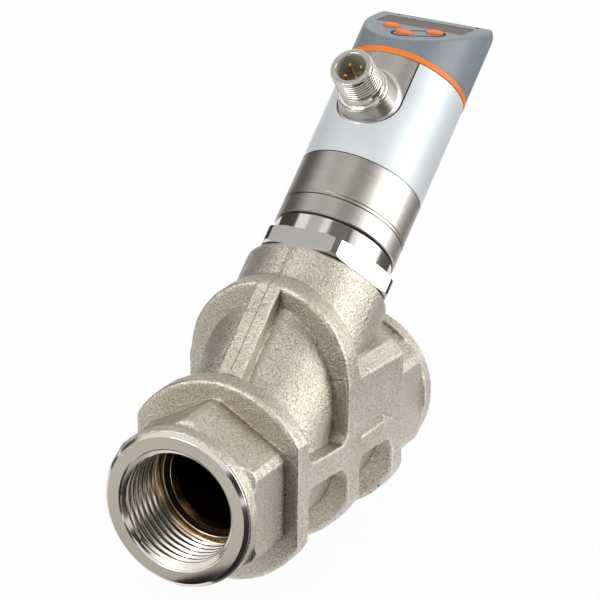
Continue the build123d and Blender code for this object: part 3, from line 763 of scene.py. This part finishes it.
# %% [markdown]
# ## The casting
# A foundry's edges are round and its walls are never quite flat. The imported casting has
# the right sizes but crisp edges. Remeshing it in small cubes and then smoothing those
# rounds every edge and every inner corner by almost half a millimetre, much as sand does.
# The two machined ends are cut away first, because they have to stay sharp.

# %% Cut the machined ends away
polished_length = 1.1
thread_length = 17.0
relief_end = 19.6
bore_wall = 17.35
near_axis = 0.01
past_mouth = -2.0
past_ring = 40.0


def packed_mesh(node):
    """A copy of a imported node's mesh, in mm, with its split corners joined again."""
    bm = bmesh.new()
    bm.from_mesh(frame["nodes"][node].data)
    bmesh.ops.scale(bm, vec=(1 / mm,) * 3, verts=bm.verts)
    return finish_mesh(node, bm)


end_profile = [
    (near_axis, past_mouth),
    (past_ring, past_mouth),
    (past_ring, polished_length),
    (bore_wall, polished_length),
    (bore_wall, relief_end),
    (near_axis, relief_end),
]
blank = packed_mesh("valve_body")
for placement in (on_inlet, on_outlet):
    cutter = lathe("end_cutter", end_profile, 96, 0)
    in_mm = Matrix.Translation(placement.translation / mm) @ placement.to_3x3().to_4x4()
    cutter.transform(in_mm)
    blank = combined(blank, cutter, "DIFFERENCE")
print("casting blank:", len(blank.polygons), "faces")

# %% [markdown]
# Smoothing alone would leave the walls too perfect. A slow noise and a quicker one move
# them by a few hundredths of a millimetre. The bores keep their true radius, so the
# piston still runs free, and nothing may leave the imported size.

# %% Cast skin
cube = 0.34
chamber_r = 16.2
bore_margin = 0.3
slow_wave, slow_depth = 0.16, 0.10
quick_wave, quick_depth = 0.6, 0.06


def surface_drift(point):
    """How far the wall lies off its true place here, in mm."""
    here = Vector(point)
    slow = noise.noise(here * slow_wave) * slow_depth
    return slow + noise.noise(here * quick_wave) * quick_depth


def vertex_vectors(mesh, kind):
    """One vector for each vertex: its place, "co", or its "normal"."""
    values = np.empty(len(mesh.vertices) * 3)
    mesh.vertices.foreach_get(kind, values)
    return values.reshape(-1, 3)


skin = settled(
    blank,
    ("REMESH", {"mode": "VOXEL", "voxel_size": cube, "use_smooth_shade": True}),
    ("SMOOTH", {"factor": 0.5, "iterations": 1}),
)
points = vertex_vectors(skin, "co")
normals = vertex_vectors(skin, "normal")
from_foot = points - np.array(head_foot) / mm
up_head = from_foot @ np.array(head_axis)
head_r = np.linalg.norm(from_foot - np.outer(up_head, np.array(head_axis)), axis=1)
flow_r = np.hypot(points[:, 1], points[:, 2])
inner = (flow_r < bore_wall + bore_margin) | ((head_r < chamber_r) & (up_head > 0))
drift = np.array([surface_drift(point) for point in points])
points += normals * np.where(inner, 0.0, drift)[:, None]
low_corner, high_corner = (np.array(corner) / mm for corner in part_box("valve_body"))
points = np.clip(points, low_corner, high_corner)
skin.vertices.foreach_set("co", points.ravel())
skin.polygons.foreach_set("use_smooth", [True] * len(skin.polygons))
place_piece("casting", skin, Matrix.Identity(4), "body", "cast", "valve_body", weighted=False)
print("casting:", len(points), "points, of which inside", int(inner.sum()))

# %% [markdown]
# ## Screw threads
# A thread is a bump that climbs as it goes round. Rows of points that climb by one pitch
# per turn follow its crest exactly, so the crest stays clean however it is lit. At the
# seam each column joins the one that lies a whole pitch further on. Rows beyond the ends
# are pressed flat against them.

# %% Thread
root_flat = 0.14
flank_share = 0.72


def thread_mesh(name, low, high, pitch, crest_r, root_r, back_r, segments=160, rows=16, lead=0.8):
    """A threaded sleeve in mm. The crest lies inside the root for an inner thread."""
    inward = crest_r < root_r
    turns = math.ceil((high - low) / pitch) + 2
    bm = bmesh.new()
    columns = []
    for i in range(segments):
        share = i / segments
        column = []
        for j in range(turns * rows + 1):
            z = min(max(low + pitch * (j / rows + share - 1), low), high)
            phase = ((z - low) / pitch - share) % 1.0
            slope = min(max((abs(2 * phase - 1) - root_flat) / flank_share, 0), 1)
            rise = 0.5 * slope + 0.5 * slope * slope * (3 - 2 * slope)
            r = root_r + (crest_r - root_r) * rise
            runout = min((z - low) / lead, (high - z) / lead, 1.0)
            limit = root_r + (crest_r - root_r) * runout
            r = max(r, limit) if inward else min(r, limit)
            angle = 2 * math.pi * share
            column.append(bm.verts.new((r * math.cos(angle), r * math.sin(angle), z)))
        for z in (high, low):
            column.append(bm.verts.new((back_r * math.cos(angle), back_r * math.sin(angle), z)))
        columns.append(column)
    length = turns * rows + 1
    for i in range(segments):
        here = columns[i]
        there = columns[(i + 1) % segments]
        shift = rows if i == segments - 1 else 0
        for j in range(length - 1 - shift):
            bm.faces.new((here[j], there[j + shift], there[j + shift + 1], here[j + 1]))
        for j in (length - 1, length):
            bm.faces.new((here[j], there[j], there[j + 1], here[j + 1]))
        bm.faces.new((here[length + 1], there[length + 1], there[0], here[0]))
    return finish_mesh(name, bm, 50.0)


print("thread maker ready")

# %% [markdown]
# ## Pipe mouths
# Each mouth is faced, chamfered and threaded on a lathe, and it is the brightest metal on
# the body. The ring closes the cut that was left in the casting. Behind the thread come
# a relief groove and a stepped shoulder, which show as brassy rings deep in the bore.

# %% Mouth rings and pipe threads
mouth_ring = [
    (16.5, 0.5),
    (17.0, 0.0),
    (20.3, 0.0),
    (21.3, 1.0),
    (21.3, 1.6),
    (16.9, 1.6),
    (16.9, 0.9),
]
bore_step = [
    (17.7, 16.9),
    (17.1, 16.9),
    (17.1, 19.1),
    (16.7, 19.45),
    (15.0, 19.45),
    (14.6, 19.9),
    (13.9, 19.95),
    (13.25, 20.6),
    (13.25, 23.5),
    (13.7, 23.5),
    (13.9, 20.5),
    (17.7, 20.2),
]
pipe_pitch = 2.309
pipe_root_r = 16.62
pipe_crest_r = 15.3
pipe_back_r = 17.6
thread_lip = 0.45
for end, placement in (("inlet", on_inlet), ("outlet", on_outlet)):
    ring = lathe(f"{end}_mouth", mouth_ring, 256, 0.1)
    place_piece(f"{end}_mouth", ring, placement, "body", "mouth")
    radii = (pipe_crest_r, pipe_root_r, pipe_back_r)
    thread = thread_mesh(f"{end}_thread", thread_lip, thread_length, pipe_pitch, *radii, 256)
    place_piece(f"{end}_thread", thread, placement, "body", "mouth")
    step = lathe(f"{end}_bore_step", bore_step, 192, 0.1)
    place_piece(f"{end}_bore_step", step, placement, "body", "bore")
print("thread turns:", round(thread_length / pipe_pitch, 1))

# %% [markdown]
# ## Stem
# The stem screws into the neck and carries the head. Its hexagon is milled from a round
# bar, so each corner keeps a narrow strip of the bar's own surface, and a lathe chamfer
# cuts an arc into each flat at top and bottom. Cutting a turned ring with a six-sided
# prism makes both of these come out right. The rest of the stem is turned: the plug that
# screws into the neck, the collar, and the spigot inside the head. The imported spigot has
# two grooves, for its seal and its clip. They never show, so it is drawn plain here.

# %% Hexagon
hex_low = 58.0
hex_high = 63.4
hex_flat = 18.0
hex_sharp_angle = 12
bar_r = 20.3
corner_r = hex_flat / math.cos(math.radians(30))
corner_angles = [math.radians(a) for a in range(30, 390, 60)]
hex_corners = [(corner_r * math.cos(a), corner_r * math.sin(a)) for a in corner_angles]
turned_ring = [
    (16.0, hex_low + 0.02),
    (bar_r - 0.7, hex_low + 0.02),
    (bar_r, hex_low + 0.45),
    (bar_r, hex_high - 0.6),
    (bar_r - 1.3, hex_high + 0.01),
    (16.0, hex_high + 0.01),
]
bar = lathe("hexagon_bar", turned_ring, 256, 0)
hex_prism = prism("hexagon_prism", hex_corners, hex_low - 1, hex_high + 1)
hexagon = combined(bar, hex_prism, "INTERSECT")
hexagon.polygons.foreach_set("use_smooth", [True] * len(hexagon.polygons))
hexagon.set_sharp_from_angle(angle=math.radians(hex_sharp_angle))
place_piece("stem_hexagon", hexagon, on_head, "body", "polished_steel")
stem_profile = [
    (5.23, 53.0),
    (11.3, 53.0),
    (11.3, 44.0),
    (14.44, 44.0),
    (15.44, 45.0),
    (15.44, 55.4),
    (14.1, 55.4),
    (14.1, 58.0),
    (16.8, 58.0),
    (16.8, 68.7),
    (12.5, 68.7),
    (12.5, 81.7),
    (5.23, 81.7),
]
stem_body = lathe("stem_body", stem_profile, 224, 0.15)
place_piece("stem_body", stem_body, on_head, "body", "polished_steel", "stem")
print("hexagon across flats:", 2 * hex_flat, "mm")

# %% [markdown]
# ## Flow arrow
# The plain arrow on each pad is the only mark that the casting carries. Cast in one with
# the pad it would melt away in the smoothing, so it is made as its own crisp piece, with
# eased edges, and sinks a little into the pad.

# %% Flow arrows
arrow_tail = 56.3
arrow_length = 17.9
arrow_head = 5.5
arrow_half = 0.9
arrow_head_half = 2.45
arrow_z = 3.5
arrow_foot = 23.5
arrow_top = 24.54
arrow_edge = 0.22
arrow_neck = arrow_tail + arrow_length - arrow_head
arrow_tip = arrow_tail + arrow_length
arrow_outline = [
    (arrow_tail, -arrow_half),
    (arrow_neck, -arrow_half),
    (arrow_neck, -arrow_head_half),
    (arrow_tip, 0.0),
    (arrow_neck, arrow_head_half),
    (arrow_neck, arrow_half),
    (arrow_tail, arrow_half),
]
for side_name, out in (("near", side_axis), ("far", -side_axis)):
    arrow = prism("flow_arrow", arrow_outline, arrow_foot, arrow_top)
    arrow = settled(arrow, ("BEVEL", {"width": arrow_edge, "segments": 3}))
    upward = out.cross(flow_axis)
    on_pad = axes_matrix(flow_axis, upward, out, Vector((0, 0, arrow_z)) * mm)
    place_piece(f"flow_arrow_{side_name}", arrow, on_pad, "body", "mark", weighted=False)
print("arrow:", arrow_length, "mm")

# %% [markdown]
# ## Plug boss
# The tube's wall is drawn out into a short neck for the plug. Where the neck leaves the
# tube it flares. The flare follows a saddle, because the tube is round and the neck is
# round the other way. Each of its points is found from two facts: how far it lies from
# the plug's axis, and how far out the tube's surface is there.

# %% Boss flare
on_plug = axes_matrix(side_axis, head_axis, plug_axis, head_foot + head_axis * plug_height * mm)
tube_r = 17.15
flare = 1.3
boss_foot_r = 8.3
boss_foot_out = 16.0
boss_taper = 1.0 / 4.4
flare_lift = 0.01
flare_steps = 8
flare_turns = 160
bm = bmesh.new()
loops = []
for k in range(flare_steps + 1):
    t = k / flare_steps * math.pi / 2
    loop = []
    for i in range(flare_turns):
        angle = 2 * math.pi * i / flare_turns
        rise = flare * (1 - math.cos(t))
        near = boss_foot_r - boss_taper * (tube_r - boss_foot_out + rise)
        reach = near + flare * (1 - math.sin(t))
        x, y = reach * math.cos(angle), reach * math.sin(angle)
        out = math.sqrt(tube_r**2 - x**2) + rise
        loop.append(bm.verts.new((x, y, out + flare_lift)))
    loops.append(loop)
for near_loop, far_loop in zip(loops, loops[1:]):
    for i in range(flare_turns):
        j = (i + 1) % flare_turns
        bm.faces.new((near_loop[i], near_loop[j], far_loop[j], far_loop[i]))
place_piece("boss_flare", finish_mesh("boss_flare", bm), on_plug, "head", "stainless")
print("flare", flare, "mm")

# %% [markdown]
# ## Plug
# The plug's shell is nickel-plated brass: a collar that is pressed into the boss, a short
# relief, seven turns of fine thread and a plain lip. All but the thread is turned. The
# pale plastic of the insert lines the inside up to the lip.

# %% Plug shell
collar_profile = [
    (4.4, 14.8),
    (4.95, 14.8),
    (4.95, 20.4),
    (7.1, 20.4),
    (7.1, 20.9),
    (6.8, 21.3),
    (6.15, 21.35),
    (6.0, 21.55),
    (6.0, 23.5),
    (5.75, 23.75),
    (5.4, 23.8),
    (5.4, 24.3),
    (4.4, 24.3),
]
lip_profile = [
    (4.4, 30.96),
    (5.45, 30.96),
    (5.76, 31.11),
    (5.76, 31.5),
    (5.6, 31.66),
    (4.5, 31.66),
    (4.4, 31.56),
]
liner_profile = [(4.12, 23.3), (4.41, 23.3), (4.41, 31.35), (4.25, 31.5), (4.12, 31.35)]
plug_pitch = 1.0
plug_radii = (6.0, 5.34, 4.4)
thread_start = 24.05
thread_stop = 31.3
plug_collar = lathe("plug_collar", collar_profile, 160, 0.12)
place_piece("plug_collar", plug_collar, on_plug, "head", "plug_nickel")
plug_lip = lathe("plug_lip", lip_profile, 160, 0.08)
place_piece("plug_lip", plug_lip, on_plug, "head", "plug_nickel")
plug_thread = thread_mesh(
    "plug_thread", thread_start, thread_stop, plug_pitch, *plug_radii, 160, 12, 0.5
)
place_piece("plug_thread", plug_thread, on_plug, "head", "plug_turns", "connector_shell")
plug_liner = lathe("plug_liner", liner_profile, 128, 0.03)
place_piece("plug_liner", plug_liner, on_plug, "head", "insert")
print("plug thread:", round((thread_stop - thread_start) / plug_pitch, 1), "turns")

# %% [markdown]
# ## Printed lines
# A thin black line borders the foil at its lower edge and around its window. Another
# draws a long oval round two of the keys. The lower edge is a thin turned ring. The others
# are flat ribbons along a path, a hundredth of a millimetre or more above the surface
# that they are printed on.

# %% Ribbons
foil_r = 17.3
line_width = 0.30
lift_off = 0.012


def ribbon(name, path, wrap, closed, width=line_width):
    """A flat line along (across, up) points. wrap gives a surface point for each."""
    count = len(path)
    bm = bmesh.new()
    pairs = []
    for i in range(count):
        before = Vector(path[i - 1 if closed or i else 0])
        after = Vector(path[(i + 1) % count if closed or i < count - 1 else i])
        along = (after - before).normalized()
        aside = Vector((-along.y, along.x)) * width / 2
        here = Vector(path[i])
        pairs.append([bm.verts.new(wrap(*(here + side * aside))) for side in (-1, 1)])
    for i in range(count if closed else count - 1):
        near_pair = pairs[i]
        far_pair = pairs[(i + 1) % count]
        bm.faces.new((near_pair[0], far_pair[0], far_pair[1], near_pair[1]))
    return finish_mesh(name, bm)


def on_foil(across, up):
    """A point of the foil, from its distance across the plug's side and its height."""
    r = foil_r + lift_off
    return math.sqrt(r * r - across * across), across, up


foil_low = 88.6
foil_high = 120.9
foil_back_r = 17.1
edge_below = 0.16
edge_above = 0.1
window_half = 9.3
window_height = 107.4
bend = [math.radians(a) for a in range(0, 181, 6)]
window_path = [(window_half, foil_high)]
for a in bend:
    window_path.append((window_half * math.cos(a), window_height - window_half * math.sin(a)))
window_path.append((-window_half, foil_high))
window_line = ribbon("foil_window_line", window_path, on_foil, False)
place_piece("foil_window_line", window_line, on_head, "head", "print")
edge_profile = [
    (foil_back_r, foil_low - edge_below),
    (foil_r + lift_off, foil_low - edge_below),
    (foil_r + lift_off, foil_low + edge_above),
    (foil_back_r, foil_low + edge_above),
]
edge_line = lathe("foil_edge_line", edge_profile, 256, 0)
place_piece("foil_edge_line", edge_line, on_head, "head", "print")
print("foil window:", 2 * window_half, "mm wide")

# %% [markdown]
# ## Display face
# The sloping face has a frame of its own, whose X runs downhill and whose Y runs across.
# The keys are soft orange rubber, domed where a finger presses. Each is built from slot
# outlines that shrink as they rise.

# %% Keys and their oval
slope = math.radians(44.3)
face_height = 142.65
downhill = plug_axis * math.cos(slope) - head_axis * math.sin(slope)
face_out = plug_axis * math.sin(slope) + head_axis * math.cos(slope)
on_face = axes_matrix(downhill, side_axis, face_out, head_foot + head_axis * face_height * mm)
key_length = 4.8
key_height = 3.2
# How far the outline is drawn in, and at what height, from the key's foot to its top.
key_levels = [
    (0.0, -2.0),
    (0.0, 0.30),
    (0.06, 0.45),
    (0.20, 0.60),
    (0.42, 0.72),
    (0.8, 0.78),
    (1.2, 0.8),
]
key_spots = {"key_up": (12.0, -6.6), "key_down": (12.0, 6.6), "key_set": (17.4, 0.0)}


def slot_outline(inset, steps=20):
    """Points of a slot that lies across, drawn in by an inset."""
    r = key_height / 2 - inset
    half = (key_length - key_height) / 2
    points = []
    for end, start in ((1, 0.0), (-1, math.pi)):
        for k in range(steps + 1):
            a = start + math.pi * k / steps
            points.append((r * math.cos(a), end * half + r * math.sin(a)))
    return points


for key, (along, across) in key_spots.items():
    bm = bmesh.new()
    loops = []
    for inset, z in key_levels:
        outline = slot_outline(inset)
        loops.append([bm.verts.new((along + x, across + y, z)) for x, y in outline])
    for low_loop, high_loop in zip(loops, loops[1:]):
        for i in range(len(low_loop)):
            j = (i + 1) % len(low_loop)
            bm.faces.new((low_loop[i], low_loop[j], high_loop[j], high_loop[i]))
    bm.faces.new(loops[-1])
    bm.faces.new(list(reversed(loops[0])))
    place_piece(f"{key}_cap", finish_mesh(key, bm, 60.0), on_face, key, "keys", key)

oval_ends = [(17.5, -0.2), (12.7, 6.6)]
oval_r = 3.1
oval_width = 0.75
oval_lift = 0.03
oval_steps = 24
oval_path = []
(set_along, set_across), (down_along, down_across) = oval_ends
heading = math.atan2(down_across - set_across, down_along - set_along)
for (along, across), turn in zip(oval_ends, (math.pi / 2, -math.pi / 2)):
    for k in range(oval_steps + 1):
        a = heading + turn + math.pi * k / oval_steps
        oval_path.append((along + oval_r * math.cos(a), across + oval_r * math.sin(a)))
oval = ribbon("key_oval", oval_path, lambda x, y: (x, y, oval_lift), True, oval_width)
place_piece("key_oval", oval, on_face, "head", "print")
print("keys:", len(key_spots))

# %% [markdown]
# ## Lamp strip
# Six small lamps sit behind a pale strip along the crest of the face. A fine dark line
# closes the strip towards the crest, with a dark end on each side.

# %% Lamp strip
strip_low = -10.7
strip_high = 12.6
end_length = 0.9


def on_crest(name, along, low, high, width, slot, lift):
    """A straight printed stripe across the face."""
    stripe = ribbon(name, [(along, low), (along, high)], lambda x, y: (x, y, lift), False, width)
    place_piece(name, stripe, on_face, "head", slot)


# Name, distance downhill, from and to across the face, width, finish, height off it.
on_crest("lamp_strip", -1.45, strip_low, strip_high, 0.45, "guide", 0.02)
on_crest("crest_line", -1.75, strip_low, strip_high, 0.25, "print", 0.03)
on_crest("strip_end_0", -1.5, strip_low - end_length, strip_low, 0.8, "print", 0.04)
on_crest("strip_end_1", -1.5, strip_high, strip_high + end_length, 0.8, "print", 0.04)
print("lamp strip:", round(strip_high - strip_low, 1), "mm")

bpy.context.view_layer.update()
